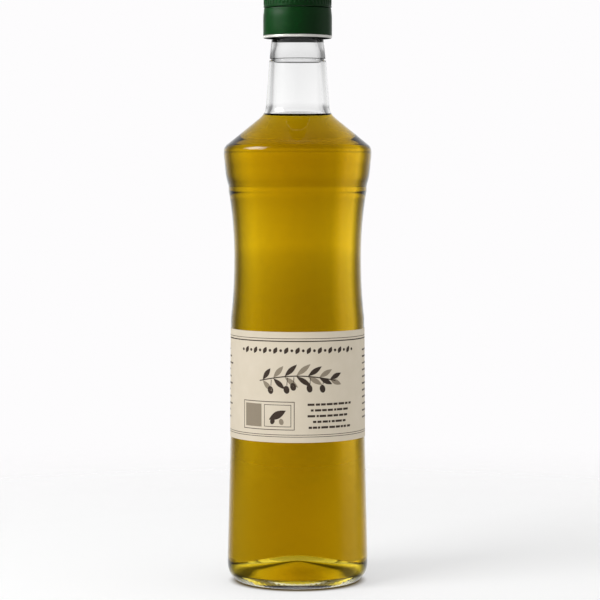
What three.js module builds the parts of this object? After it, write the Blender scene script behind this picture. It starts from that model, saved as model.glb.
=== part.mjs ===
// Clear glass bottle of olive oil, standing upright on its bearing ring: waisted body, broad shoulder,
// slim neck, wrap-around paper label, green aluminium screw cap with its sleeve, and the oil inside.
// Millimetres, +Z up, origin at the centre of the base, label's front towards -Y.

import * as THREE from 'three';

// Smoothness of the round pieces.
const ROUND_SIDES = 44;
const CURVE_STEPS = 4;
const WAIST_STEPS = 6;
const CAP_STEPS = 2;
const LABEL_COLUMNS = 42;

// Base: a dished punt inside a flat bearing ring, then the rounded heel.
const PUNT_HEIGHT = 10.0;
const PUNT_RIM_RADIUS = 22.4;
const PUNT_RIM_HEIGHT = 3.9;
const BEARING_INNER_RADIUS = 23.4;
const BEARING_OUTER_RADIUS = 25.6;
const HEEL_RADIUS = 32.6;
const HEEL_HEIGHT = 9.0;

// Lower body, which narrows slightly up to the top of the label panel.
const PANEL_BOTTOM_RADIUS = 31.15;
const PANEL_BOTTOM_HEIGHT = 66;
const PANEL_TOP_RADIUS = 30.8;
const PANEL_TOP_HEIGHT = 122.3;

// Waist, its narrowest height, and the ledge under the shoulder band, with a shallow groove at its foot.
const WAIST_RADIUS = 29.25;
const WAIST_HEIGHT = 150;
const WAIST_TOP_RADIUS = 31.85;
const WAIST_TOP_HEIGHT = 181.0;
const GROOVE_RADIUS = 31.8;
const GROOVE_HEIGHT = 182.9;
const LEDGE_RADIUS = 33.0;
const LEDGE_HEIGHT = 187.0;

// Shoulder band and shoulder cone.
const BAND_RADIUS = 33.85;
const BAND_HEIGHT = 195.5;
const SHOULDER_RADIUS = 34.0;
const SHOULDER_HEIGHT = 198.6;
const CONE_BOTTOM_RADIUS = 32.1;
const CONE_BOTTOM_HEIGHT = 202.3;
const CONE_TOP_RADIUS = 18.2;
const CONE_TOP_HEIGHT = 213.5;

// Neck, the small step round it, and the collar that goes up under the cap.
const NECK_BOTTOM_RADIUS = 14.6;
const NECK_BOTTOM_HEIGHT = 219.5;
const NECK_TOP_RADIUS = 13.1;
const STEP_HEIGHT = 240.6;
const COLLAR_BOTTOM_RADIUS = 12.85;
const COLLAR_SHOULDER_RADIUS = 12.14;
const COLLAR_SHOULDER_HEIGHT = 248.05;
const COLLAR_TOP_RADIUS = 11.95;
const COLLAR_TOP_HEIGHT = 250.4;
const FINISH_FOOT_HEIGHT = 254;

// Finish inside the cap, up to the rounded lip.
const FINISH_RADIUS = 13.8;
const FINISH_HEIGHT = 255.6;
const LIP_HEIGHT = 273.6;
const LIP_ROUNDING = 1.2;

// Inside of the glass.
const WALL = 2.7;
const FLOOR_APEX_HEIGHT = 13.0;
const FLOOR_RADIUS = 25.2;
const FLOOR_HEIGHT = 4.9;
const INNER_HEEL_HEIGHT = 13.5;
const BORE_BOTTOM_RADIUS = 11.6;
const BORE_BOTTOM_HEIGHT = 221;
const BORE_RADIUS = 10.8;
const BORE_TOP_HEIGHT = 244;
const MOUTH_RADIUS = 9.6;
const MOUTH_HEIGHT = 247.5;

// Oil, up to the level seen at the foot of the neck.
const FILL_HEIGHT = 215.0;
const OIL_GAP = 0.3;

// Paper label, with its two ends apart at the back.
const LABEL_BOTTOM_HEIGHT = 67.5;
const LABEL_TOP_HEIGHT = 117.5;
const LABEL_THICKNESS = 0.15;
const LABEL_GAP = 0.1;
const LABEL_OPENING = THREE.MathUtils.degToRad(34);

// Closure: knurled cap, plain sleeve below the tear line, and the bare ring at its foot.
const CAP_TOP_HEIGHT = 274.6;
const CAP_RADIUS = 15.6;
const CAP_WALL = 0.6;
const CAP_ROUNDING = 1.3;
const CAP_BOTTOM_HEIGHT = 264.45;
const BEAD_RADIUS = 15.65;
const KNURL_BOTTOM_HEIGHT = 265.5;
const KNURL_TOP_HEIGHT = 273.0;
const KNURL_COUNT = 50;
const KNURL_DEPTH = 0.4;
const SLEEVE_RADIUS = 15.8;
const SLEEVE_TOP_RADIUS = 15.5;
const SLEEVE_SHOULDER_HEIGHT = 260.8;
const SLEEVE_TOP_HEIGHT = 264.15;
const SLEEVE_BOTTOM_HEIGHT = 251.85;
const RING_TOP_HEIGHT = 251.75;
const RING_BOTTOM_HEIGHT = 250.6;
const RING_THICKNESS = 1.2;

const GLASS = new THREE.MeshStandardMaterial({ color: 0xeef2ec, roughness: 0.03, metalness: 0 });
const OIL = new THREE.MeshStandardMaterial({ color: 0xc79a10, roughness: 0.05, metalness: 0 });
const PAPER = new THREE.MeshStandardMaterial({ color: 0xe0d6bf, roughness: 0.8, metalness: 0 });
const GREEN_LACQUER = new THREE.MeshStandardMaterial({ color: 0x123a20, roughness: 0.35, metalness: 0.3 });
const BARE_ALUMINIUM = new THREE.MeshStandardMaterial({ color: 0xd8d8d4, roughness: 0.3, metalness: 1 });

// A profile in (radius, height) turned round the Z axis.
function turned(points, sides = ROUND_SIDES) {
  return new THREE.LatheGeometry(points, sides).rotateX(Math.PI / 2);
}

function named(name, geometry, material) {
  const mesh = new THREE.Mesh(geometry, material);
  mesh.name = name;
  return mesh;
}

// The waist is two S-shaped sweeps that meet at its narrowest height, drawn upwards.
function sweepWaist(path, inset) {
  const lower = (WAIST_HEIGHT - PANEL_TOP_HEIGHT) / 3;
  const upper = (WAIST_TOP_HEIGHT - WAIST_HEIGHT) / 3;
  path.bezierCurveTo(
    WAIST_RADIUS + 0.45 - inset, PANEL_TOP_HEIGHT + lower,
    WAIST_RADIUS - inset, WAIST_HEIGHT - lower,
    WAIST_RADIUS - inset, WAIST_HEIGHT);
  path.bezierCurveTo(
    WAIST_RADIUS - inset, WAIST_HEIGHT + upper,
    WAIST_RADIUS + 0.8 - inset, WAIST_TOP_HEIGHT - upper,
    WAIST_TOP_RADIUS - inset, WAIST_TOP_HEIGHT);
}

// Outside of the glass, from the top of the punt up to the lip.
function outsideOfGlass() {
  const base = new THREE.Path();
  base.moveTo(0, PUNT_HEIGHT);
  base.bezierCurveTo(3, PUNT_HEIGHT, 13, 6.9, PUNT_RIM_RADIUS, PUNT_RIM_HEIGHT);
  base.lineTo(BEARING_INNER_RADIUS, 0);
  base.lineTo(BEARING_OUTER_RADIUS, 0);
  base.bezierCurveTo(29.6, 0, HEEL_RADIUS, 3.2, HEEL_RADIUS, HEEL_HEIGHT);
  base.lineTo(PANEL_BOTTOM_RADIUS, PANEL_BOTTOM_HEIGHT);
  base.lineTo(PANEL_TOP_RADIUS, PANEL_TOP_HEIGHT);

  const waist = new THREE.Path();
  waist.moveTo(PANEL_TOP_RADIUS, PANEL_TOP_HEIGHT);
  sweepWaist(waist, 0);

  const top = new THREE.Path();
  top.moveTo(WAIST_TOP_RADIUS, WAIST_TOP_HEIGHT);
  top.lineTo(GROOVE_RADIUS, GROOVE_HEIGHT);
  top.lineTo(LEDGE_RADIUS, LEDGE_HEIGHT);
  top.lineTo(BAND_RADIUS, BAND_HEIGHT);
  top.lineTo(SHOULDER_RADIUS, SHOULDER_HEIGHT);
  top.quadraticCurveTo(SHOULDER_RADIUS, CONE_BOTTOM_HEIGHT - 1.3, CONE_BOTTOM_RADIUS, CONE_BOTTOM_HEIGHT);
  top.lineTo(CONE_TOP_RADIUS, CONE_TOP_HEIGHT);
  top.quadraticCurveTo(
    NECK_BOTTOM_RADIUS + 0.5, CONE_TOP_HEIGHT + 2.4,
    NECK_BOTTOM_RADIUS, NECK_BOTTOM_HEIGHT);
  top.lineTo(NECK_TOP_RADIUS, STEP_HEIGHT);
  top.lineTo(COLLAR_BOTTOM_RADIUS, STEP_HEIGHT + 0.5);
  top.lineTo(COLLAR_SHOULDER_RADIUS, COLLAR_SHOULDER_HEIGHT);
  top.lineTo(COLLAR_TOP_RADIUS, COLLAR_TOP_HEIGHT);
  top.lineTo(COLLAR_TOP_RADIUS, FINISH_FOOT_HEIGHT);
  top.lineTo(FINISH_RADIUS, FINISH_HEIGHT);
  top.lineTo(FINISH_RADIUS, LIP_HEIGHT - LIP_ROUNDING);
  top.quadraticCurveTo(FINISH_RADIUS, LIP_HEIGHT, FINISH_RADIUS - LIP_ROUNDING, LIP_HEIGHT);

  return [
    ...base.getPoints(CURVE_STEPS),
    ...waist.getPoints(WAIST_STEPS).slice(1, -1),
    ...top.getPoints(CURVE_STEPS),
  ];
}

// Inside of the glass from the middle of the floor up to the mouth, or the same form smaller by a gap.
function insideOfGlass(gap) {
  const inset = WALL + gap;
  const base = new THREE.Path();
  base.moveTo(0, FLOOR_APEX_HEIGHT + gap);
  base.bezierCurveTo(
    7, FLOOR_APEX_HEIGHT + gap,
    18, FLOOR_HEIGHT + 2.9 + gap,
    FLOOR_RADIUS - gap, FLOOR_HEIGHT + gap);
  base.bezierCurveTo(
    FLOOR_RADIUS + 3.2 - gap, FLOOR_HEIGHT - 0.3 + gap,
    HEEL_RADIUS - inset, FLOOR_HEIGHT + 3 + gap,
    HEEL_RADIUS - 0.1 - inset, INNER_HEEL_HEIGHT);
  base.lineTo(PANEL_BOTTOM_RADIUS - inset, PANEL_BOTTOM_HEIGHT);
  base.lineTo(PANEL_TOP_RADIUS - inset, PANEL_TOP_HEIGHT);

  const waist = new THREE.Path();
  waist.moveTo(PANEL_TOP_RADIUS - inset, PANEL_TOP_HEIGHT);
  sweepWaist(waist, inset);

  const top = new THREE.Path();
  top.moveTo(WAIST_TOP_RADIUS - inset, WAIST_TOP_HEIGHT);
  top.lineTo(LEDGE_RADIUS - inset, LEDGE_HEIGHT + 1);
  top.lineTo(BAND_RADIUS - inset, BAND_HEIGHT);
  top.quadraticCurveTo(
    SHOULDER_RADIUS - inset, SHOULDER_HEIGHT,
    CONE_BOTTOM_RADIUS - inset - 0.3, CONE_BOTTOM_HEIGHT - 2.2);
  top.lineTo(CONE_TOP_RADIUS - inset, CONE_TOP_HEIGHT - 1.2 - gap);
  top.quadraticCurveTo(
    BORE_BOTTOM_RADIUS + 0.4 - gap, CONE_TOP_HEIGHT + 2,
    BORE_BOTTOM_RADIUS - gap, BORE_BOTTOM_HEIGHT);
  top.lineTo(BORE_RADIUS, BORE_TOP_HEIGHT);
  top.lineTo(MOUTH_RADIUS, MOUTH_HEIGHT);
  top.lineTo(MOUTH_RADIUS, LIP_HEIGHT - LIP_ROUNDING);
  top.quadraticCurveTo(MOUTH_RADIUS, LIP_HEIGHT, MOUTH_RADIUS + LIP_ROUNDING, LIP_HEIGHT);

  return [
    ...base.getPoints(CURVE_STEPS),
    ...waist.getPoints(WAIST_STEPS).slice(1, -1),
    ...top.getPoints(CURVE_STEPS),
  ];
}

function glassBottle() {
  return turned([...outsideOfGlass(), ...insideOfGlass(0).reverse()]);
}

// The oil fills the inside up to a flat surface.
function oliveOil() {
  const wall = insideOfGlass(OIL_GAP);
  const above = wall.findIndex((point) => point.y > FILL_HEIGHT);
  const below = wall[above - 1];
  const share = (FILL_HEIGHT - below.y) / (wall[above].y - below.y);
  const edge = below.clone().lerp(wall[above], share);
  return turned([...wall.slice(0, above), edge, new THREE.Vector2(0, FILL_HEIGHT)]);
}

// The label follows the glass: a curved strip with two faces, two long edges and two ends.
function paperLabel() {
  const taper = (PANEL_BOTTOM_RADIUS - PANEL_TOP_RADIUS) / (PANEL_TOP_HEIGHT - PANEL_BOTTOM_HEIGHT);
  const section = [
    [LABEL_GAP, LABEL_BOTTOM_HEIGHT],
    [LABEL_GAP + LABEL_THICKNESS, LABEL_BOTTOM_HEIGHT],
    [LABEL_GAP + LABEL_THICKNESS, LABEL_TOP_HEIGHT],
    [LABEL_GAP, LABEL_TOP_HEIGHT],
  ];
  const positions = [];
  const faces = [];
  for (let column = 0; column <= LABEL_COLUMNS; column += 1) {
    const along = (column / LABEL_COLUMNS) * (2 * Math.PI - LABEL_OPENING);
    const angle = (Math.PI + LABEL_OPENING) / 2 + along;
    for (const [lift, height] of section) {
      const radius = PANEL_TOP_RADIUS + taper * (PANEL_TOP_HEIGHT - height) + lift;
      positions.push(radius * Math.cos(angle), radius * Math.sin(angle), height);
    }
  }
  for (let column = 0; column < LABEL_COLUMNS; column += 1) {
    for (let corner = 0; corner < 4; corner += 1) {
      const a = column * 4 + corner;
      const b = column * 4 + ((corner + 1) % 4);
      faces.push(a, a + 4, b, b, a + 4, b + 4);
    }
  }
  const last = LABEL_COLUMNS * 4;
  faces.push(0, 1, 2, 0, 2, 3, last, last + 2, last + 1, last, last + 3, last + 2);
  const geometry = new THREE.BufferGeometry();
  geometry.setAttribute('position', new THREE.Float32BufferAttribute(positions, 3));
  geometry.setIndex(faces);
  return geometry;
}

// The cap is a thin shell. Every second column of its outer wall sinks in between the knurls.
function screwCap() {
  const inner = CAP_RADIUS - KNURL_DEPTH - CAP_WALL;
  const path = new THREE.Path();
  path.moveTo(inner, CAP_BOTTOM_HEIGHT);
  path.lineTo(CAP_RADIUS - 0.25, CAP_BOTTOM_HEIGHT);
  path.lineTo(BEAD_RADIUS, CAP_BOTTOM_HEIGHT + 0.35);
  path.lineTo(BEAD_RADIUS, KNURL_BOTTOM_HEIGHT - 0.4);
  path.lineTo(CAP_RADIUS, KNURL_BOTTOM_HEIGHT);
  path.lineTo(CAP_RADIUS, KNURL_TOP_HEIGHT);
  path.quadraticCurveTo(CAP_RADIUS - 0.1, CAP_TOP_HEIGHT, CAP_RADIUS - CAP_ROUNDING, CAP_TOP_HEIGHT);
  path.lineTo(0, CAP_TOP_HEIGHT);
  path.lineTo(0, CAP_TOP_HEIGHT - CAP_WALL);
  path.lineTo(inner, CAP_TOP_HEIGHT - CAP_WALL);
  path.lineTo(inner, CAP_BOTTOM_HEIGHT);
  const geometry = turned(path.getPoints(CAP_STEPS), KNURL_COUNT * 2);

  const place = geometry.attributes.position;
  const groove = (CAP_RADIUS - KNURL_DEPTH) / CAP_RADIUS;
  for (let index = 0; index < place.count; index += 1) {
    const x = place.getX(index);
    const y = place.getY(index);
    const z = place.getZ(index);
    const column = Math.round((Math.atan2(y, x) / Math.PI) * KNURL_COUNT);
    const onKnurls = z > KNURL_BOTTOM_HEIGHT - 0.1 && z < KNURL_TOP_HEIGHT + 0.1;
    if (onKnurls && Math.hypot(x, y) > CAP_RADIUS - 0.1 && column % 2 !== 0) {
      place.setXYZ(index, x * groove, y * groove, z);
    }
  }
  return geometry;
}

function capSleeve() {
  const inner = SLEEVE_TOP_RADIUS - CAP_WALL;
  return turned([
    new THREE.Vector2(inner, SLEEVE_BOTTOM_HEIGHT),
    new THREE.Vector2(SLEEVE_RADIUS, SLEEVE_BOTTOM_HEIGHT),
    new THREE.Vector2(SLEEVE_RADIUS, SLEEVE_SHOULDER_HEIGHT),
    new THREE.Vector2(SLEEVE_TOP_RADIUS, SLEEVE_SHOULDER_HEIGHT + 2.2),
    new THREE.Vector2(SLEEVE_TOP_RADIUS, SLEEVE_TOP_HEIGHT),
    new THREE.Vector2(inner, SLEEVE_TOP_HEIGHT),
    new THREE.Vector2(inner, SLEEVE_BOTTOM_HEIGHT),
  ]);
}

function capRing() {
  const inner = SLEEVE_RADIUS - RING_THICKNESS;
  return turned([
    new THREE.Vector2(inner, RING_BOTTOM_HEIGHT),
    new THREE.Vector2(SLEEVE_RADIUS - 0.15, RING_BOTTOM_HEIGHT),
    new THREE.Vector2(SLEEVE_RADIUS, RING_BOTTOM_HEIGHT + 0.3),
    new THREE.Vector2(SLEEVE_RADIUS - 0.1, RING_TOP_HEIGHT),
    new THREE.Vector2(inner, RING_TOP_HEIGHT),
    new THREE.Vector2(inner, RING_BOTTOM_HEIGHT),
  ]);
}

const bottle = new THREE.Group();
bottle.add(
  named('glass_bottle', glassBottle(), GLASS),
  named('olive_oil', oliveOil(), OIL),
  named('paper_label', paperLabel(), PAPER),
  named('screw_cap', screwCap(), GREEN_LACQUER),
  named('cap_sleeve', capSleeve(), GREEN_LACQUER),
  named('cap_ring', capRing(), BARE_ALUMINIUM),
);

export default bottle;
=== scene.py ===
# %% [markdown]
# A bottle of olive oil in Blender. This lesson dresses a bottle whose solids are already made at their real
# size. Clear glass, oil, paper and lacquered metal are finished one after another. Everything is in metres,
# with Z up, and the label's front looks towards -Y.

import math
import random

import bpy
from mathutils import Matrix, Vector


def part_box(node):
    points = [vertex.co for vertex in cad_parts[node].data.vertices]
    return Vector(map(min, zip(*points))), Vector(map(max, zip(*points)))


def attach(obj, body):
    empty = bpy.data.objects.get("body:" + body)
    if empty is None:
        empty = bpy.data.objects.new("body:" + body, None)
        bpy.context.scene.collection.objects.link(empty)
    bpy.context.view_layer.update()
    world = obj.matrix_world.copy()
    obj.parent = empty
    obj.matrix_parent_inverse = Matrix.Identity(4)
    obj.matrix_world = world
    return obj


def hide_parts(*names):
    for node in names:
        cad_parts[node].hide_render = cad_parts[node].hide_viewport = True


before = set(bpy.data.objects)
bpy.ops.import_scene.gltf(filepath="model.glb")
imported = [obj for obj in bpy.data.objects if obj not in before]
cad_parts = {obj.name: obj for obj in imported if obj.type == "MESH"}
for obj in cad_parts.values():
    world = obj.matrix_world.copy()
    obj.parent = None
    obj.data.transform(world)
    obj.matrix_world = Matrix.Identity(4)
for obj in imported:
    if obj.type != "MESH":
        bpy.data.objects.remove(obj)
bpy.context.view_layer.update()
print("solids:", sorted(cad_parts))

# %% [markdown]
# Helpers. Sizes are easier to read in millimetres, and colours as the hex values of a paint card, so two
# small functions turn them into what Blender wants.

# %% Units and colours
MM = 0.001


def linear(hex_colour):
    """The linear RGBA of an sRGB hex colour such as 0xE0D6BF."""
    channels = [(hex_colour >> shift & 255) / 255 for shift in (16, 8, 0)]
    curved = [c / 12.92 if c <= 0.04045 else ((c + 0.055) / 1.055) ** 2.4 for c in channels]
    return (*curved, 1.0)


# %% [markdown]
# Materials are trees of nodes. One function adds a node, gives it its settings and joins its inputs, so
# that a material reads as a list of what feeds what.

# %% One node at a time
def node(tree, kind, name=None, settings=None, **inputs):
    """Adds a node. An input is a plain value, or a socket of another node to be joined."""
    made = tree.nodes.new(kind)
    if name:
        made.label = name
    for key, value in (settings or {}).items():
        setattr(made, key, value)
    for key, value in inputs.items():
        socket = made.inputs[int(key[1:])] if key[1:].isdigit() else made.inputs[key.replace("_", " ")]
        if isinstance(value, bpy.types.NodeSocket):
            tree.links.new(value, socket)
        else:
            socket.default_value = value
    return made


def new_material(name):
    """An empty node material and its output node."""
    material = bpy.data.materials.new(name)
    material.use_nodes = True
    material.node_tree.nodes.clear()
    return material, node(material.node_tree, "ShaderNodeOutputMaterial")


# %% [markdown]
# The camera stands about a metre away with a long lens, a little above the middle of the bottle, as in the
# photograph. The lens and the distance come from how much the round edges bow: the closure's edge bows up,
# the ledge is nearly straight and the label's edges bow down, so the eye is level with the shoulder.

# %% Camera
PHOTO_PIXELS = 600
FOCAL_PIXELS = 2300
SENSOR_MM = 36
MM_PER_PIXEL = 0.4625
EYE_HEIGHT = 191.7 * MM
AIM_HEIGHT = 130.2 * MM
AIM_SIDE = 1.1 * MM

distance = FOCAL_PIXELS * MM_PER_PIXEL * MM
tilt = math.asin((EYE_HEIGHT - AIM_HEIGHT) / distance)
lens = bpy.data.cameras.new("camera")
lens.sensor_width = SENSOR_MM
lens.lens = FOCAL_PIXELS * SENSOR_MM / PHOTO_PIXELS
lens.clip_end = 20
camera = bpy.data.objects.new("camera", lens)
camera.location = (AIM_SIDE, -distance * math.cos(tilt), EYE_HEIGHT)
camera.rotation_euler = (math.pi / 2 - tilt, 0, 0)
bpy.context.scene.collection.objects.link(camera)
bpy.context.scene.camera = camera
bpy.context.scene.view_settings.view_transform = "Standard"

# %% [markdown]
# A bottle is round, so its glass is drawn as half an outline and spun about the Z axis, as on a lathe. The
# outline is a short list of lines and Bezier curves. Drawing it as rings of a tall cylinder would also
# work, but the outline shows the real profile at a glance.

# %% Outlines
def curve(start, first, second, end, steps):
    """Points along a Bezier curve in (radius, height), without its start."""
    points = []
    for step in range(1, steps + 1):
        t = step / steps
        weights = ((1 - t) ** 3, 3 * (1 - t) ** 2 * t, 3 * (1 - t) * t * t, t ** 3)
        corners = (start, first, second, end)
        points.append(tuple(sum(w * c[axis] for w, c in zip(weights, corners)) for axis in (0, 1)))
    return points


def rounded(points, corners, steps=5):
    """The same outline with the named corners rounded: corners maps a point's place to its radius in mm."""
    longest_share, pull_share = 0.45, 0.6
    result = []
    for place, point in enumerate(points):
        if place not in corners:
            result.append(point)
            continue
        before, after = points[place - 1], points[place + 1]
        ends = []
        for other in (before, after):
            length = math.dist(point, other)
            reach = min(corners[place], length * longest_share)
            ends.append(tuple(p + (o - p) * reach / length for p, o in zip(point, other)))
        pull = [tuple(e + (p - e) * pull_share for e, p in zip(end, point)) for end in ends]
        result.append(ends[0])
        result += curve(ends[0], pull[0], pull[1], ends[1], steps)
    return result


SMOOTH_BELOW = math.radians(32)


def spin_outline(name, outline, sides):
    """A closed piece: an outline of (radius, height) in mm, spun about the Z axis."""
    bpy.ops.object.select_all(action="DESELECT")
    bpy.ops.mesh.primitive_plane_add(size=MM, location=(0, 0, 0))
    piece = bpy.context.object
    piece.name = name
    bpy.ops.object.mode_set(mode="EDIT")
    bpy.ops.mesh.select_all(action="SELECT")
    bpy.ops.mesh.merge(type="CENTER")
    place = (0.0, 0.0)
    first = True
    for point in outline:
        step = ((point[0] - place[0]) * MM, 0, (point[1] - place[1]) * MM)
        if first:
            bpy.ops.transform.translate(value=step)
            first = False
        else:
            bpy.ops.mesh.extrude_region_move(TRANSFORM_OT_translate={"value": step})
        place = point
    bpy.ops.mesh.select_all(action="SELECT")
    bpy.ops.mesh.spin(steps=sides, angle=math.tau, center=(0, 0, 0), axis=(0, 0, 1))
    bpy.ops.mesh.select_all(action="SELECT")
    bpy.ops.mesh.remove_doubles(threshold=0.002 * MM)
    bpy.ops.mesh.normals_make_consistent(inside=False)
    bpy.ops.object.mode_set(mode="OBJECT")
    bpy.ops.object.shade_smooth_by_angle(angle=SMOOTH_BELOW)
    print(name, "has", len(piece.data.polygons), "faces")
    return piece


# %% [markdown]
# The glass. It is flint glass blown in a mould: the outside has the mould's crisp form, and the inside is
# softer, because nothing but air shaped it. The floor is domed, and follows the punt, which is the hollow
# under the bottle.

# %% Outside of the glass
PUNT = 10.0
PUNT_RIM = (22.4, 3.9)
BEARING_INNER = (23.4, 0)
BEARING_OUTER = (25.6, 0)
HEEL = (32.6, 9.0)
PANEL_BOTTOM = (31.15, 66.0)
PANEL_TOP = (30.8, 122.3)
WAIST = (29.25, 150.0)
WAIST_TOP = (31.85, 181.0)
GROOVE = (31.8, 182.9)
LEDGE = (33.0, 187.0)
BAND = (33.85, 195.5)
SHOULDER = (34.0, 198.6)
CONE_BOTTOM = (32.1, 202.3)
CONE_TOP = (18.2, 213.5)
NECK_BOTTOM = (14.6, 219.5)
NECK_TOP = (13.12, 240.3)
STEP = (12.25, 240.65)
STEP_TOP = (12.25, 240.95)
COLLAR = (12.9, 241.15)
COLLAR_TOP = (12.14, 248.05)
COLLAR_THROAT = (11.95, 250.4)
FINISH_FOOT = (11.95, 254.0)
FINISH = (13.8, 255.6)
LIP_HEIGHT = 273.6
LIP_ROUNDING = 1.2
CURVE_STEPS = 12
WAIST_STEPS = 16
RIM_STEPS = 6


def waist(inset, start, end):
    """The waist's two sweeps, up from the top of the label panel."""
    lean_below, lean_above = 0.45, 0.8
    lower = (WAIST[1] - start[1]) / 3
    upper = (end[1] - WAIST[1]) / 3
    narrow = (WAIST[0] - inset, WAIST[1])
    begin = (start[0] - inset, start[1])
    finish = (end[0] - inset, end[1])
    below = curve(begin, (narrow[0] + lean_below, begin[1] + lower), (narrow[0], narrow[1] - lower), narrow,
                  WAIST_STEPS)
    above = curve(narrow, (narrow[0], narrow[1] + upper), (narrow[0] + lean_above, finish[1] - upper), finish,
                  WAIST_STEPS)
    return below + above


outside = [(0, PUNT)]
outside += curve((0, PUNT), (3, PUNT), (13, 6.9), PUNT_RIM, CURVE_STEPS)
outside += curve(PUNT_RIM, (23.0, 3.7), (23.0, 0.6), BEARING_INNER, RIM_STEPS)
outside += [BEARING_OUTER]
outside += curve(BEARING_OUTER, (29.6, 0), (HEEL[0], 3.2), HEEL, CURVE_STEPS)
outside += [PANEL_BOTTOM, PANEL_TOP]
outside += waist(0, PANEL_TOP, WAIST_TOP)
ledge_at = len(outside)
outside += [GROOVE, LEDGE, BAND]
outside += curve(BAND, (34.0, 196.6), (34.0, 197.6), SHOULDER, CURVE_STEPS)
outside += curve(SHOULDER, (34.0, 200.2), (33.5, 201.2), CONE_BOTTOM, CURVE_STEPS)
outside += [CONE_TOP]
outside += curve(CONE_TOP, (15.9, 215.4), (14.9, 216.6), NECK_BOTTOM, CURVE_STEPS)
step_at = len(outside)
outside += [NECK_TOP, STEP, STEP_TOP, COLLAR, COLLAR_TOP, COLLAR_THROAT, FINISH_FOOT, FINISH]
lip = (FINISH[0], LIP_HEIGHT - LIP_ROUNDING)
outside += [lip]
outside += curve(lip, (lip[0], LIP_HEIGHT - 0.4), (13.4, LIP_HEIGHT), (12.6, LIP_HEIGHT), CURVE_STEPS)
outside = rounded(outside, {ledge_at - 1: 0.8, ledge_at: 0.5, ledge_at + 1: 2.2, step_at: 0.12,
                            step_at + 3: 0.15, step_at + 4: 1.5})

# %% Inside of the glass
WALL = 2.7
FLOOR_APEX = 13.0
FLOOR_EDGE = (25.2, 4.9)
INNER_HEEL_HEIGHT = 13.5
BORE_BOTTOM = (11.6, 221.0)
BORE_TOP = (10.8, 244.0)
MOUTH = (9.6, 247.5)


def inside(inset):
    """The inside, moved outwards by inset, from the floor's middle up to the foot of the neck."""
    wall = WALL - inset
    low = FLOOR_APEX - inset
    edge = (FLOOR_EDGE[0] + inset, FLOOR_EDGE[1] - inset)
    heel = (HEEL[0] - 0.1 - wall, INNER_HEEL_HEIGHT)
    band = (BAND[0] - wall, BAND[1])
    cone_bottom = (CONE_BOTTOM[0] - 0.3 - wall, CONE_BOTTOM[1] - 2.2 + inset * 0.5)
    cone_top = (CONE_TOP[0] - wall, CONE_TOP[1] - 1.2 + inset * 0.5)
    points = [(0, low)]
    points += curve((0, low), (7, low), (18, edge[1] + 2.9), edge, CURVE_STEPS)
    points += curve(edge, (edge[0] + 3.2, edge[1] - 1.0), (heel[0], edge[1] + 3), heel, CURVE_STEPS)
    points += [(PANEL_BOTTOM[0] - wall, PANEL_BOTTOM[1]), (PANEL_TOP[0] - wall, PANEL_TOP[1])]
    points += waist(wall, PANEL_TOP, WAIST_TOP)
    points += curve(points[-1], (WAIST_TOP[0] + 0.4 - wall, WAIST_TOP[1] + 4),
                    (band[0] - 0.35, band[1] - 4), band, CURVE_STEPS)
    points += curve(band, (band[0] + 0.2, band[1] + 2), (cone_bottom[0] + 1.2, cone_bottom[1] - 0.8),
                    cone_bottom, CURVE_STEPS)
    points += [cone_top]
    neck = (BORE_BOTTOM[0] + inset, BORE_BOTTOM[1])
    points += curve(cone_top, (13.4 + inset, 214.6), (12.2 + inset, 216.2), neck, CURVE_STEPS)
    return points


bore = [BORE_TOP, MOUTH, (MOUTH[0], LIP_HEIGHT - LIP_ROUNDING)]
bore += curve(bore[-1], (MOUTH[0], LIP_HEIGHT - 0.4), (10.0, LIP_HEIGHT), (10.8, LIP_HEIGHT), CURVE_STEPS)
GLASS_SIDES = 320
glass = spin_outline("clear_glass", outside + list(reversed(inside(0) + bore)), GLASS_SIDES)

# %% [markdown]
# A mould leaves small dents round the bearing edge, which show as a dotted line. Each ring of corners there
# is pressed in by a wave.

# %% Stippling on the bearing edge
STIPPLES = 80
STIPPLE_DEPTH = 0.3
STIPPLED_FROM, STIPPLED_TO = 25.7, 31.0
STIPPLED_LOW, STIPPLED_HIGH = 0.05, 2.6
for vertex in glass.data.vertices:
    radius = vertex.co.xy.length / MM
    if STIPPLED_FROM < radius < STIPPLED_TO and STIPPLED_LOW < vertex.co.z / MM < STIPPLED_HIGH:
        angle = math.atan2(vertex.co.y, vertex.co.x)
        dent = STIPPLE_DEPTH * (0.5 - 0.5 * math.cos(STIPPLES * angle)) / radius
        vertex.co.x *= 1 - dent
        vertex.co.y *= 1 - dent

# %% [markdown]
# The oil reaches a little way into the wall, so that no film of air shows between them. Its top is flat,
# with the small upward curl that a liquid has against glass.

# %% Oil
oil_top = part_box("olive_oil")[1][2] / MM
OIL_INTO_WALL = 0.25
MENISCUS = 0.5
oil_wall = [point for point in inside(OIL_INTO_WALL) if point[1] < oil_top + MENISCUS]
rim = oil_wall[-1][0]
oil_face = [(rim - 0.45, oil_top + 0.12), (rim - 1.2, oil_top), (0, oil_top)]
oil = spin_outline("oil", oil_wall + oil_face, GLASS_SIDES)

# %% [markdown]
# Glass and oil bend light almost alike, so the boundary between them all but vanishes in a real bottle.
# That is told to Blender on the wet inner wall, whose index is the ratio of the two, and on the side of the
# oil, which gets an index of 1. Where glass or oil meets air, they have their usual values. Without this,
# each wall would mirror the room twice more and the oil would look milky.

# %% Glass and oil materials
GLASS_IOR = 1.52
OIL_IOR = 1.47


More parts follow.
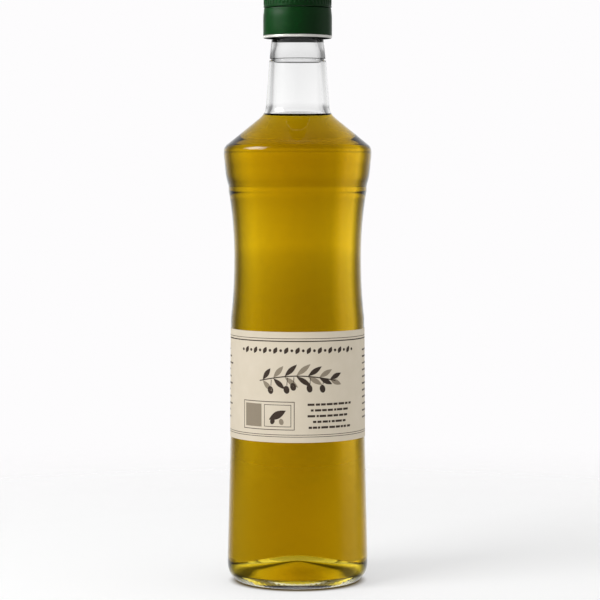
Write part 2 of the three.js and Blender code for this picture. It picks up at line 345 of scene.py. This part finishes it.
def clear_material(name, colour, ior, absorption=None, density=0):
    """Clear glass or liquid. absorption and density give what the depth takes from the light."""
    material, output = new_material(name)
    tree = material.node_tree
    shader = node(tree, "ShaderNodeBsdfPrincipled", name, Base_Color=linear(colour), Roughness=0.0, IOR=ior,
                  Transmission_Weight=1.0)
    tree.links.new(shader.outputs[0], output.inputs["Surface"])
    if absorption is not None:
        volume = node(tree, "ShaderNodeVolumeAbsorption", Color=linear(absorption), Density=density)
        tree.links.new(volume.outputs[0], output.inputs["Volume"])
    return material


OIL_TINT = 0xF1E72C
OIL_DENSITY = 130
flint_glass = clear_material("flint glass, moulded", 0xFFFFFF, GLASS_IOR)
wet_glass = clear_material("glass wet with oil", 0xFFFFFF, GLASS_IOR / OIL_IOR)
oil_body = clear_material("olive oil against glass", 0xFFFFFF, 1.0, OIL_TINT, OIL_DENSITY)
oil_surface = clear_material("olive oil against air", 0xFFFFFF, OIL_IOR, OIL_TINT, OIL_DENSITY)

# %% Which faces the oil wets
# The first two are parts of a face's normal: how far it looks to the axis, and how far it looks up.
FACES_IN = -0.15
FACES_UP = 0.3
FLOOR_BELOW = 16 * MM
FLOOR_WITHIN = 28 * MM

glass.data.materials.append(flint_glass)
glass.data.materials.append(wet_glass)
wet = 0
for face in glass.data.polygons:
    out = face.center.xy.normalized().dot(face.normal.xy)
    low_and_central = face.center.z < FLOOR_BELOW and face.center.xy.length < FLOOR_WITHIN
    on_floor = face.normal.z > FACES_UP and low_and_central
    in_punt = face.normal.z < 0 and face.center.z < (PUNT + 0.5) * MM
    if face.center.z < oil_top * MM and (out < FACES_IN or on_floor) and not in_punt:
        face.material_index = 1
        wet += 1
print("wet faces:", wet)

oil.data.materials.append(oil_body)
oil.data.materials.append(oil_surface)
for face in oil.data.polygons:
    if face.center.z > (oil_top - 0.1) * MM and face.normal.z > FACES_UP:
        face.material_index = 1

# %% [markdown]
# The label is a strip of uncoated cream paper, glued round the lower body. Its two ends stay apart at the
# back.

# %% Paper label
label_low, label_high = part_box("paper_label")
LABEL_BOTTOM = label_low[2] / MM
LABEL_TOP = label_high[2] / MM
PAPER_THICKNESS = 0.1
PAPER_LIFT = 0.02
LABEL_OPENING = math.radians(34)


def glass_radius(height):
    """The outside radius of the glass behind the label, in mm."""
    share = (height - PANEL_BOTTOM[1]) / (PANEL_TOP[1] - PANEL_BOTTOM[1])
    return PANEL_BOTTOM[0] + (PANEL_TOP[0] - PANEL_BOTTOM[0]) * share


def wrap(piece, lift):
    """Wraps a flat piece round the bottle: X becomes the way round, Z stays, and Y becomes the depth."""
    for vertex in piece.data.vertices:
        along, depth, height = vertex.co / MM
        radius = glass_radius(height) + lift - depth
        angle = along / glass_radius(height)
        vertex.co = (radius * math.sin(angle) * MM, -radius * math.cos(angle) * MM, height * MM)


label_length = 2 * glass_radius(LABEL_BOTTOM) * (math.pi - LABEL_OPENING / 2)
bpy.ops.object.select_all(action="DESELECT")
bpy.ops.mesh.primitive_grid_add(x_subdivisions=180, y_subdivisions=4, size=1, location=(0, 0, 0))
label = bpy.context.object
label.name = "label"
bpy.ops.object.mode_set(mode="EDIT")
bpy.ops.mesh.select_all(action="SELECT")
bpy.ops.transform.resize(value=(label_length * MM, (LABEL_TOP - LABEL_BOTTOM) * MM, 1))
bpy.ops.mesh.extrude_region_move(TRANSFORM_OT_translate={"value": (0, 0, PAPER_THICKNESS * MM)})
bpy.ops.mesh.select_all(action="SELECT")
bpy.ops.mesh.normals_make_consistent(inside=False)
bpy.ops.object.mode_set(mode="OBJECT")
for vertex in label.data.vertices:
    x, y, z = vertex.co
    vertex.co = (x, -z, y + (LABEL_TOP + LABEL_BOTTOM) / 2 * MM)
wrap(label, PAPER_LIFT)
bpy.ops.object.shade_smooth_by_angle(angle=SMOOTH_BELOW)

# %% [markdown]
# Uncoated paper looks soft and a little mottled. Two noises do it: a broad one for the pulp's clouds and a
# fine one, about 0.25 mm, for the fibres.

# %% Paper material
def paper_material():
    material, output = new_material("uncoated paper, cream")
    tree = material.node_tree
    place = node(tree, "ShaderNodeTexCoord").outputs["Object"]
    clouds = node(tree, "ShaderNodeTexNoise", "pulp clouds", Vector=place, Scale=160.0, Detail=3.0)
    fibres = node(tree, "ShaderNodeTexNoise", "fibres", Vector=place, Scale=4000.0, Detail=2.0)
    both = node(tree, "ShaderNodeMix", "grain", {"data_type": "FLOAT"}, i0=0.4, i2=clouds.outputs["Fac"],
                i3=fibres.outputs["Fac"])
    tint = node(tree, "ShaderNodeMix", "cream", {"data_type": "RGBA"}, i0=both.outputs[0],
                i6=linear(0xD1C5AF), i7=linear(0xDFD4C1))
    bump = node(tree, "ShaderNodeBump", "fibre relief", Strength=0.12, Distance=0.00004,
                Height=fibres.outputs["Fac"])
    shader = node(tree, "ShaderNodeBsdfPrincipled", "paper", Base_Color=tint.outputs[2], Roughness=0.75,
                  Normal=bump.outputs[0])
    shader.inputs["Specular IOR Level"].default_value = 0.3
    tree.links.new(shader.outputs[0], output.inputs["Surface"])
    return material


label.data.materials.append(paper_material())

# %% [markdown]
# The print is ink on the paper: an olive sprig between two rules, rows of plain marks and a small framed
# panel. Each mark is a very thin solid, so it stays crisp from close up. A few shapes are modelled once,
# and stamped many times: every stamp is a copy with its own mesh, scaled, turned and moved while it is
# still flat. The whole sheet is then wrapped round the bottle.

# %% Stamps
INK_THICKNESS = 0.03
INK_LIFT = PAPER_LIFT + PAPER_THICKNESS - 0.01


def flat_solid(name, columns, half_height=None):
    """A flat unit bar, facing up, with the ink's thickness. half_height gives it another outline."""
    bpy.ops.object.select_all(action="DESELECT")
    bpy.ops.mesh.primitive_grid_add(x_subdivisions=columns, y_subdivisions=1, size=1, location=(0, 0, 0))
    shape = bpy.context.object
    if half_height:
        for vertex in shape.data.vertices:
            vertex.co.y *= max(0.02, half_height(abs(2 * vertex.co.x)))
    shape.name = name
    bpy.ops.object.mode_set(mode="EDIT")
    bpy.ops.mesh.select_all(action="SELECT")
    bpy.ops.mesh.extrude_region_move(TRANSFORM_OT_translate={"value": (0, 0, INK_THICKNESS * MM)})
    bpy.ops.mesh.select_all(action="SELECT")
    bpy.ops.mesh.normals_make_consistent(inside=False)
    bpy.ops.object.mode_set(mode="OBJECT")
    return shape


bar = flat_solid("bar", 6)
rule = flat_solid("rule", 70)
disc = flat_solid("disc", 14, lambda share: math.sqrt(max(0, 1 - share * share)))
leaf = flat_solid("leaf", 12, lambda share: 1 - share ** 1.8)

stamps = {"dark": [], "grey": []}


def stamp(shape, along, up, width, height, turn=0.0, ink="dark"):
    """Stamps a shape: its middle, its size in mm and its turn in degrees."""
    copy = shape.copy()
    copy.data = shape.data.copy()
    bpy.context.scene.collection.objects.link(copy)
    cos, sin = math.cos(math.radians(turn)), math.sin(math.radians(turn))
    for vertex in copy.data.vertices:
        x, y = vertex.co.x * width, vertex.co.y * height
        vertex.co = ((along + x * cos - y * sin) * MM, -vertex.co.z, (up + x * sin + y * cos) * MM)
    stamps[ink].append(copy)


def marks(left, up, length, height, seed):
    """A row of short plain bars of uneven length, from left on."""
    draw = random.Random(seed)
    at = left
    while at < left + length - 1.0:
        width = min(draw.uniform(0.9, 3.6), left + length - at)
        stamp(bar, at + width / 2, up, width, height)
        at += width + draw.uniform(0.35, 0.7)


def frame_lines(left, low, width, height, line):
    """A thin rectangular frame."""
    for up in (low, low + height):
        stamp(rule, left + width / 2, up, width + line, line)
    for along in (left, left + width):
        stamp(bar, along, low + height / 2, line, height)


# %% [markdown]
# The sprig: a stem of short bars along an arch, leaves in pairs that lean less towards the tip, and olives
# that hang on short stalks. All sizes are in millimetres on the flat sheet.

# %% Olive sprig
SPRIG_UP = LABEL_BOTTOM + 29.0
SPRIG_HALF = 18.0
STEM_STEPS = 28
LEAF_PAIRS = 7
STEM_THICKNESS = 0.5
LEAF_LENGTH, LEAF_WIDTH = 8.2, 2.3
OLIVES = ((-12.5, -5.2), (-5.0, -6.0), (-2.0, -4.8), (5.4, -5.4), (11.5, -4.8))
OLIVE_WIDTH, OLIVE_HEIGHT, OLIVE_TURN = 2.7, 3.6, 12
STALK_THICKNESS, STALK_TURN = 0.3, 86


def sprig_height(along):
    """The stem is a shallow arch."""
    arch = 2.4
    return SPRIG_UP + arch * (math.cos(along / SPRIG_HALF * math.pi / 2) - 0.5)


for index in range(STEM_STEPS):
    start = -SPRIG_HALF + 2 * SPRIG_HALF * index / STEM_STEPS
    end = start + 2 * SPRIG_HALF / STEM_STEPS
    rise = sprig_height(end) - sprig_height(start)
    slope = math.degrees(math.atan2(rise, end - start))
    middle_height = (sprig_height(start) + sprig_height(end)) / 2
    stamp(bar, (start + end) / 2, middle_height, (end - start) * 1.1, STEM_THICKNESS, slope)
for index in range(LEAF_PAIRS):
    along = -SPRIG_HALF + 1.5 + index * (2 * SPRIG_HALF - 4.5) / (LEAF_PAIRS - 1)
    size = LEAF_LENGTH - 0.3 * abs(index - 3) * 2
    for side, lean in ((1, 54 - 5 * index), (-1, 46 - 4 * index)):
        turn = math.radians(side * lean)
        reach = size / 2 + 0.3
        ink = "dark" if (index + (side > 0)) % 2 else "grey"
        stamp(leaf, along + reach * math.cos(turn), sprig_height(along) + reach * math.sin(turn), size,
              LEAF_WIDTH, side * lean, ink)
for along, drop in OLIVES:
    stamp(disc, along, sprig_height(along) + drop, OLIVE_WIDTH, OLIVE_HEIGHT, OLIVE_TURN)
    stalk_middle = sprig_height(along) + drop / 2 + 0.7
    stamp(bar, along + 0.3, stalk_middle, -drop - 2.4, STALK_THICKNESS, STALK_TURN)

# %% Rules and a row of leaves and dots
RULE_LENGTH = 150
RULES = ((2.6, 0.25), (3.5, 0.25), (45.8, 0.5), (47.0, 0.25))
ROW_UP = LABEL_BOTTOM + 41.6
ROW_STEP = 2.55
ROW_HALF = 11

for up, line in RULES:
    stamp(rule, 0, LABEL_BOTTOM + up, RULE_LENGTH, line)
for index in range(-ROW_HALF, ROW_HALF + 1):
    if index % 2:
        stamp(disc, index * ROW_STEP, ROW_UP, 1.3, 1.3)
    else:
        stamp(leaf, index * ROW_STEP, ROW_UP, 3.4, 1.9, 62)

# %% Rows of marks and a framed panel
FRONT_ROWS = ((4.5, 23), (6.0, 20), (4.5, 21), (7.0, 17), (5.0, 22))
SIDE_ROWS, SIDE_STEP, SIDE_MIDDLE = 11, 3.1, 47.0
END_ROWS, END_STEP, END_LENGTH = 9, 3.0, 17
SMALL_MARK = 0.75

for row, (left, length) in enumerate(FRONT_ROWS):
    marks(left, LABEL_BOTTOM + 17.2 - row * 2.6, length, 1.0, row)
frame_lines(-27.5, LABEL_BOTTOM + 5.8, 26, 12.6, 0.3)
stamp(bar, -21.7, LABEL_BOTTOM + 12.1, 9.2, 10.4, 0, "grey")
frame_lines(-15.6, LABEL_BOTTOM + 7.2, 12.6, 9.8, 0.25)
stamp(leaf, -9.3, LABEL_BOTTOM + 12.4, 9.0, 3.4, 28)
stamp(disc, -11.6, LABEL_BOTTOM + 9.6, 2.2, 2.8, -20)
stamp(disc, -7.4, LABEL_BOTTOM + 9.4, 2.2, 2.8, 15, "grey")
for side in (-1, 1):
    for row in range(SIDE_ROWS):
        left = side * SIDE_MIDDLE - 8.0
        length = 11 + 5 * ((row * 7) % 3) / 2
        marks(left, LABEL_BOTTOM + 40.5 - row * SIDE_STEP, length, SMALL_MARK, 40 + row + side)
for row in range(END_ROWS):
    up = LABEL_BOTTOM + 38 - row * END_STEP
    marks(62, up, END_LENGTH, SMALL_MARK, 90 + row)
    marks(-80, up, END_LENGTH, SMALL_MARK, 120 + row)


# %% Ink materials and the printed sheet
def ink_material(name, colour, worn):
    """Ink that soaks unevenly into the paper."""
    material, output = new_material(name)
    tree = material.node_tree
    place = node(tree, "ShaderNodeTexCoord").outputs["Object"]
    soak = node(tree, "ShaderNodeTexNoise", "soaking", Vector=place, Scale=2500.0, Detail=2.0)
    tint = node(tree, "ShaderNodeMix", "ink", {"data_type": "RGBA"}, i0=soak.outputs["Fac"],
                i6=linear(colour), i7=linear(worn))
    shader = node(tree, "ShaderNodeBsdfPrincipled", "ink", Base_Color=tint.outputs[2], Roughness=0.6)
    shader.inputs["Specular IOR Level"].default_value = 0.3
    tree.links.new(shader.outputs[0], output.inputs["Surface"])
    return material


inks = {"dark": ink_material("printed ink, dark brown", 0x30261F, 0x4E4036),
        "grey": ink_material("printed ink, grey", 0x877B6A, 0x9C907C)}
prints = []
for name, copies in stamps.items():
    bpy.ops.object.select_all(action="DESELECT")
    for copy in copies:
        copy.select_set(True)
    bpy.context.view_layer.objects.active = copies[0]
    bpy.ops.object.join()
    sheet = bpy.context.object
    sheet.name = "label_print_" + name
    wrap(sheet, INK_LIFT)
    sheet.data.materials.append(inks[name])
    prints.append(sheet)
    print(sheet.name, "has", len(sheet.data.polygons), "faces")
for shape in (bar, rule, disc, leaf):
    bpy.data.objects.remove(shape)

# %% [markdown]
# The closure is thin aluminium with a deep green lacquer: a knurled cap, a tear line and a plain sleeve.
# Each shell is spun like the glass. The knurls are pressed in afterwards, by moving the columns of the
# outer wall.

# %% Closure
CAP_RADIUS = 15.6
KNURLS = 50
COLUMNS_EACH = 8
KNURL_DEPTH = 0.35
KNURL_SHARPNESS = 1.5
FADE_BELOW, FADE_ABOVE = 0.8, 1.0
SHELL_SIDES = 160
cap_low, cap_high = (corner[2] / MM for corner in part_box("screw_cap"))
sleeve_low, sleeve_high = (corner[2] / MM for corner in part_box("cap_sleeve"))
ring_low, ring_high = (corner[2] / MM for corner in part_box("cap_ring"))
knurl_low, knurl_high = cap_low + 1.05, cap_high - 1.6

cap_outline = [(14.5, cap_low + 0.1), (15.1, cap_low), (15.45, cap_low + 0.1), (15.65, cap_low + 0.35),
               (15.65, cap_low + 0.75), (15.5, cap_low + 0.95), (15.45, knurl_low)]
cap_outline += [(CAP_RADIUS, knurl_low + 0.35), (CAP_RADIUS, knurl_low + 1.5), (CAP_RADIUS, knurl_high - 1.0),
                (CAP_RADIUS, knurl_high)]
cap_outline += curve((CAP_RADIUS, knurl_high), (CAP_RADIUS, cap_high - 0.6), (CAP_RADIUS - 0.5, cap_high),
                     (CAP_RADIUS - 1.5, cap_high), 8)
cap_outline += [(13.0, cap_high - 0.02), (12.4, cap_high - 0.18), (0, cap_high - 0.2), (0, cap_high - 0.7),
                (14.3, cap_high - 0.8), (14.5, cap_high - 1.2), (14.5, cap_low + 0.1)]
cap = spin_outline("knurled_cap", cap_outline, KNURLS * COLUMNS_EACH)
for vertex in cap.data.vertices:
    radius = vertex.co.xy.length / MM
    height = vertex.co.z / MM
    if radius > CAP_RADIUS - 0.02 and knurl_low < height < knurl_high + 0.01:
        angle = math.atan2(vertex.co.y, vertex.co.x)
        groove = (0.5 - 0.5 * math.cos(angle * KNURLS)) ** KNURL_SHARPNESS
        fade = min(1.0, (height - knurl_low) / FADE_BELOW, (knurl_high + 0.4 - height) / FADE_ABOVE)
        shrink = (radius - KNURL_DEPTH * groove * fade) / radius
        vertex.co.x *= shrink
        vertex.co.y *= shrink

# The sleeve is a little wider below, where it is pressed over the glass.
sleeve_corners = [(14.9, sleeve_low), (15.8, sleeve_low), (15.8, sleeve_low + 8.9),
                  (15.52, sleeve_low + 11.1), (15.5, sleeve_high), (14.9, sleeve_high), (14.9, sleeve_low)]
sleeve = spin_outline("green_sleeve", rounded(sleeve_corners, {1: 0.2, 2: 1.5, 3: 1.2, 4: 0.25}), SHELL_SIDES)
ring_corners = [(14.6, ring_low), (15.7, ring_low), (15.85, ring_low + 0.35), (15.75, ring_high),
                (14.6, ring_high), (14.6, ring_low)]
ring = spin_outline("bare_ring", rounded(ring_corners, {1: 0.2, 2: 0.3, 3: 0.15}), SHELL_SIDES)


# %% Lacquer, bare metal and the painted shade inside
def lacquer_material():
    material, output = new_material("green lacquer on aluminium")
    tree = material.node_tree
    place = node(tree, "ShaderNodeTexCoord").outputs["Object"]
    # Lacquer dries with a faint unevenness of about 1 mm, which softens its gloss.
    peel = node(tree, "ShaderNodeTexNoise", "orange peel", Vector=place, Scale=900.0, Detail=2.0)
    rough = node(tree, "ShaderNodeMapRange", "sheen", Value=peel.outputs["Fac"], To_Min=0.36, To_Max=0.46)
    tone = node(tree, "ShaderNodeMix", "green", {"data_type": "RGBA"}, i0=peel.outputs["Fac"],
                i6=linear(0x012C08), i7=linear(0x03350C))
    bump = node(tree, "ShaderNodeBump", "peel relief", Strength=0.08, Distance=0.00003,
                Height=peel.outputs["Fac"])
    shader = node(tree, "ShaderNodeBsdfPrincipled", "lacquer", Base_Color=tone.outputs[2], Metallic=0.1,
                  Roughness=rough.outputs[0], Normal=bump.outputs[0])
    tree.links.new(shader.outputs[0], output.inputs["Surface"])
    return material


def bare_metal_material():
    material, output = new_material("bare aluminium, rolled edge")
    tree = material.node_tree
    place = node(tree, "ShaderNodeTexCoord").outputs["Object"]
    # Rolling leaves fine lines round the metal, so its gloss is broken up across the height.
    stretched = node(tree, "ShaderNodeMapping", "rolling lines", Vector=place, Scale=(1, 1, 14))
    lines = node(tree, "ShaderNodeTexNoise", "lines", Vector=stretched.outputs[0], Scale=250.0, Detail=3.0)
    rough = node(tree, "ShaderNodeMapRange", "satin", Value=lines.outputs["Fac"], To_Min=0.25, To_Max=0.45)
    shader = node(tree, "ShaderNodeBsdfPrincipled", "aluminium", Base_Color=linear(0xE4E2DC), Metallic=0.3,
                  Roughness=rough.outputs[0])
    tree.links.new(shader.outputs[0], output.inputs["Surface"])
    return material


# The inside of the closure is painted dark grey-green as painted shade. It stands for the shade inside the
# shell and under its rim, not for the colour of its metal.
def painted_shade_inside_material():
    material, output = new_material("inside of the closure")
    shader = node(material.node_tree, "ShaderNodeBsdfPrincipled", "dull metal", Base_Color=linear(0x262A22),
                  Roughness=0.6)
    material.node_tree.links.new(shader.outputs[0], output.inputs["Surface"])
    return material


INSIDE_OF_SHELL = 15.2 * MM

lacquer = lacquer_material()
painted_shade_inside = painted_shade_inside_material()
# Faces inside the shell that turn inwards or down take the painted shade.
for piece, finish in ((cap, lacquer), (sleeve, lacquer), (ring, bare_metal_material())):
    piece.data.materials.append(finish)
    piece.data.materials.append(painted_shade_inside)
    for face in piece.data.polygons:
        turned_in = face.normal.xy.dot(face.center.xy) < 0 or face.normal.z < -0.5
        if face.center.xy.length < INSIDE_OF_SHELL and turned_in:
            face.material_index = 1

# %% [markdown]
# The stage starts with a pale floor. It glows a little all round, as painted light that washes out the
# bottle's shadow. Just under the bottle it has a painted shadow: a dark patch whose dim golden glow is
# painted light, standing for light come through the oil.

# %% Floor
bpy.ops.object.select_all(action="DESELECT")
FLOOR_RADIUS = 0.6
FADE_FROM = 0.16
FLOOR_DROP = 0.2 * MM
# How far out the painted shadow under the bottle stays full, and where it has faded out, in metres.
PAINTED_SHADE_TO, PAINTED_SHADE_GONE_FROM = 0.027, 0.033
bpy.ops.mesh.primitive_circle_add(vertices=64, radius=FLOOR_RADIUS, fill_type="NGON",
                                  location=(0, 0, -FLOOR_DROP))
floor = bpy.context.object
floor.name = "floor"
floor.visible_glossy = False


def floor_material():
    """Pale paper sweep that fades into the white room, so that no horizon shows. It glows as painted light,
    with a painted shadow and a dim golden glow under the bottle.
    """
    material, output = new_material("pale floor")
    tree = material.node_tree
    place = node(tree, "ShaderNodeTexCoord").outputs["Object"]
    away = node(tree, "ShaderNodeVectorMath", "distance", {"operation": "LENGTH"}, i0=place)
    fade = node(tree, "ShaderNodeMapRange", "fade", {"interpolation_type": "SMOOTHSTEP"},
                Value=away.outputs["Value"], From_Min=FADE_FROM, From_Max=FLOOR_RADIUS * 0.95)
    # Painted shadow under the bottle: a dark colour there, and a dim golden glow as painted light from the
    # oil.
    past_painted_shade = node(tree, "ShaderNodeMapRange", "clear of the bottle", {"interpolation_type": "SMOOTHSTEP"},
                    Value=away.outputs["Value"], From_Min=PAINTED_SHADE_TO, From_Max=PAINTED_SHADE_GONE_FROM)
    sweep_or_painted_shade = node(tree, "ShaderNodeMix", "sweep or shade", {"data_type": "RGBA"}, i0=past_painted_shade.outputs[0],
               i6=linear(0x1C1608), i7=linear(0xB4B4B4))
    # Painted light: the floor glows white all round, so the bottle casts almost no shadow on it.
    painted_glow = node(tree, "ShaderNodeMix", "painted_glow", {"data_type": "RGBA"}, i0=past_painted_shade.outputs[0],
                i6=linear(0x6E5812), i7=linear(0xFFFFFF))
    pale = node(tree, "ShaderNodeBsdfPrincipled", "paper sweep", Base_Color=sweep_or_painted_shade.outputs[2], Roughness=0.9,
                Emission_Color=painted_glow.outputs[2], Emission_Strength=0.5)
    nothing = node(tree, "ShaderNodeBsdfTransparent")
    mixed = node(tree, "ShaderNodeMixShader", None, None, i0=fade.outputs[0], i1=pale.outputs[0],
                 i2=nothing.outputs[0])
    tree.links.new(mixed.outputs[0], output.inputs["Surface"])
    return material


floor.data.materials.append(floor_material())


# %% [markdown]
# The room is a few tables of brightness. Each pair is an angle in degrees and how bright the room is there.
# A bearing of 0 is straight behind the bottle and 90 is to the right, and a height of 0 is level. What the
# glass shows is this room, bent: straight ahead it sees the wall behind, the bright bands beside the middle
# are brighter parts of that wall, and the dark lines near the edges are the dim room at the sides.
#
# Light that has crossed the oil comes from another table than light that has crossed only the neck, because
# in the photograph the two show the room differently. Light that the glass or the closure mirrors has a
# third one, with a softbox high on the left. One table for all would be simpler, but then the neck would be
# as streaked as the oil.

# %% Tables of the room
SEEN_THROUGH = [(-180, 0.35), (-130, 0.35), (-100, 0.7), (-80, 1.0), (-70, 0.9), (-60, 0.5), (-53, 0.6),
                (-47, 1.2), (-42, 1.8), (-35, 1.63), (-29, 1.5), (-24, 1.2), (-20, 0.98), (-10, 0.95),
                (0, 1.05), (10, 1.2), (20, 1.32), (29, 1.5), (35, 1.34), (42, 1.05), (48, 0.75), (53, 0.47),
                (60, 0.5), (70, 0.9), (80, 1.0), (100, 0.7), (130, 0.4), (180, 0.35)]
THROUGH_BY_HEIGHT = [(-90, 0.7), (-12, 0.72), (-8, 0.7), (-4.5, 0.74), (-2, 0.84), (0, 1.0), (1.5, 0.97),
                     (6, 0.92), (12, 0.78), (18, 0.4), (27, 0.15), (36, 0.15), (44, 0.8), (60, 1.0),
                     (90, 1.0)]
SEEN_THROUGH_NECK = [(-180, 0.8), (-110, 0.8), (-90, 0.7), (-60, 0.7), (-45, 0.75), (-33, 0.8), (-24, 1.08),
                     (-15, 1.12), (-6, 1.1), (0, 1.02), (10, 1.05), (18, 0.98), (28, 0.9), (45, 0.9),
                     (60, 1.1), (90, 1.3), (110, 1.2), (180, 0.8)]
OIL_CROSSINGS = 4.5
MIRRORED = [(-180, 0.01), (-100, 0.03), (-48, 0.07), (-34, 0.45), (-22, 0.9), (0, 1.0), (22, 0.9), (34, 0.5),
            (48, 0.15), (58, 0.08), (68, 0.26), (95, 0.2), (105, 0.05), (118, 0.01), (180, 0.01)]
MIRRORED_BY_HEIGHT = [(-90, 0.8), (-10, 1.0), (6, 1.0), (25, 0.5), (60, 0.2), (90, 0.1)]
SOFTBOX = [(-180, 0), (-128, 0), (-114, 10), (-96, 10), (-80, 0), (180, 0)]
SOFTBOX_BY_HEIGHT = [(-90, 0), (14, 0), (24, 1), (38, 1), (50, 0), (90, 0)]


# %% World
def ramp(tree, name, place, stops, reach):
    """A smooth table of (degrees, brightness) pairs. reach is the largest angle on either side."""
    brightest = max(value for angle, value in stops)
    made = node(tree, "ShaderNodeValToRGB", name, None, i0=place)
    while len(made.color_ramp.elements) < len(stops):
        made.color_ramp.elements.new(0.5)
    for element, (angle, value) in zip(made.color_ramp.elements, stops):
        element.position = (angle + reach) / (2 * reach)
        element.color = (value / brightest,) * 3 + (1,)
    return made.outputs[0], brightest


def studio_world():
    """A white wall for the camera, a room seen through the glass, and a room mirrored in it."""
    world = bpy.data.worlds.new("studio")
    bpy.context.scene.world = world
    world.use_nodes = True
    tree = world.node_tree
    tree.nodes.clear()
    direction = node(tree, "ShaderNodeTexCoord").outputs["Generated"]
    parts = node(tree, "ShaderNodeSeparateXYZ", None, None, i0=direction)
    bearing = node(tree, "ShaderNodeMath", "bearing from behind", {"operation": "ARCTAN2"},
                   i0=parts.outputs[0], i1=parts.outputs[1])
    height = node(tree, "ShaderNodeMath", "height of view", {"operation": "ARCSINE"}, i0=parts.outputs[2])
    across = node(tree, "ShaderNodeMapRange", "left to right", Value=bearing.outputs[0], From_Min=-math.pi,
                  From_Max=math.pi)
    upwards = node(tree, "ShaderNodeMapRange", "low to high", Value=height.outputs[0], From_Min=-math.pi / 2,
                   From_Max=math.pi / 2)

    def room(name, stops, stops_by_height):
        """A background whose brightness follows the bearing and the height of the view."""
        side, brightest = ramp(tree, name + ", by bearing", across.outputs[0], stops, 180)
        level, most = ramp(tree, name + ", by height", upwards.outputs[0], stops_by_height, 90)
        both = node(tree, "ShaderNodeMix", name, {"data_type": "RGBA", "blend_type": "MULTIPLY"}, i0=1.0,
                    i6=side, i7=level)
        return node(tree, "ShaderNodeBackground", name, None, Color=both.outputs[2],
                    Strength=brightest * most)

    low_room = room("room through the oil", SEEN_THROUGH, THROUGH_BY_HEIGHT)
    neck_room = room("room through the neck", SEEN_THROUGH_NECK, THROUGH_BY_HEIGHT)
    rays = node(tree, "ShaderNodeLightPath").outputs
    past_oil = node(tree, "ShaderNodeMath", "crossed the oil", {"operation": "GREATER_THAN"},
                    i0=rays["Transmission Depth"], i1=OIL_CROSSINGS)
    through = node(tree, "ShaderNodeMixShader", None, None, i0=past_oil.outputs[0], i1=neck_room.outputs[0],
                   i2=low_room.outputs[0])
    dim_room = room("room in the gloss", MIRRORED, MIRRORED_BY_HEIGHT)
    softbox_in_gloss = room("softbox in the gloss", SOFTBOX, SOFTBOX_BY_HEIGHT)
    mirrored = node(tree, "ShaderNodeAddShader", None, None, i0=dim_room.outputs[0],
                    i1=softbox_in_gloss.outputs[0])
    wall = node(tree, "ShaderNodeBackground", "white wall", None, Color=linear(0xFDFCFD), Strength=1.0)
    not_bent = node(tree, "ShaderNodeMath", "not bent by glass", {"operation": "SUBTRACT"}, i0=1.0,
                    i1=rays["Is Transmission Ray"])
    in_gloss = node(tree, "ShaderNodeMath", "mirrored", {"operation": "MULTIPLY"}, i0=rays["Is Glossy Ray"],
                    i1=not_bent.outputs[0])
    unseen = node(tree, "ShaderNodeMixShader", None, None, i0=in_gloss.outputs[0], i1=through.outputs[0],
                  i2=mirrored.outputs[0])
    shown = node(tree, "ShaderNodeMixShader", None, None, i0=rays["Is Camera Ray"], i1=unseen.outputs[0],
                 i2=wall.outputs[0])
    output = node(tree, "ShaderNodeOutputWorld")
    tree.links.new(shown.outputs[0], output.inputs["Surface"])


studio_world()


# %% [markdown]
# Two lamps stand on the left. The large one lights the label and the floor, and the small one has a narrow
# beam that reaches only the closure. Neither shows in the glass, because the tables already hold what shows
# there.

# %% Lamps
def softbox(name, place, target, size, power):
    """A soft rectangular lamp at place, turned towards target."""
    data = bpy.data.lights.new(name, "AREA")
    data.shape = "RECTANGLE"
    data.size, data.size_y = size
    data.energy = power
    lamp = bpy.data.objects.new(name, data)
    lamp.location = place
    direction = lamp.location.copy()
    for axis in range(3):
        direction[axis] = target[axis] - place[axis]
    lamp.rotation_euler = direction.to_track_quat("-Z", "Y").to_euler()
    bpy.context.scene.collection.objects.link(lamp)
    return lamp


MIDDLE = (0, 0, 0.14)
CLOSURE_MIDDLE = (0, 0, 0.265)
key = softbox("key_left", (-0.7, -0.5, 0.9), MIDDLE, (0.6, 0.5), 9)
cap_light = softbox("cap_left", (-0.5, -0.16, 0.34), CLOSURE_MIDDLE, (0.16, 0.1), 0.05)
cap_light.data.spread = math.radians(14)
for lamp in (key, cap_light):
    lamp.visible_glossy = False
    lamp.visible_transmission = False

# %% [markdown]
# Last, each piece is tied to the bottle's one body and stands in for its solid. The table also lists the
# finish each piece takes, which the loop does not use.

# %% Join the pieces to the bottle
DRESSED = [
    (glass, "glass_bottle", "glass"),
    (oil, "olive_oil", "oil"),
    (label, "paper_label", "label_paper"),
    (cap, "screw_cap", "cap_lacquer"),
    (sleeve, "cap_sleeve", "cap_lacquer"),
    (ring, "cap_ring", "bare_metal"),
]
for piece, solid, finish in DRESSED:
    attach(piece, "root")
    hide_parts(solid)
for sheet in prints:
    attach(sheet, "root")
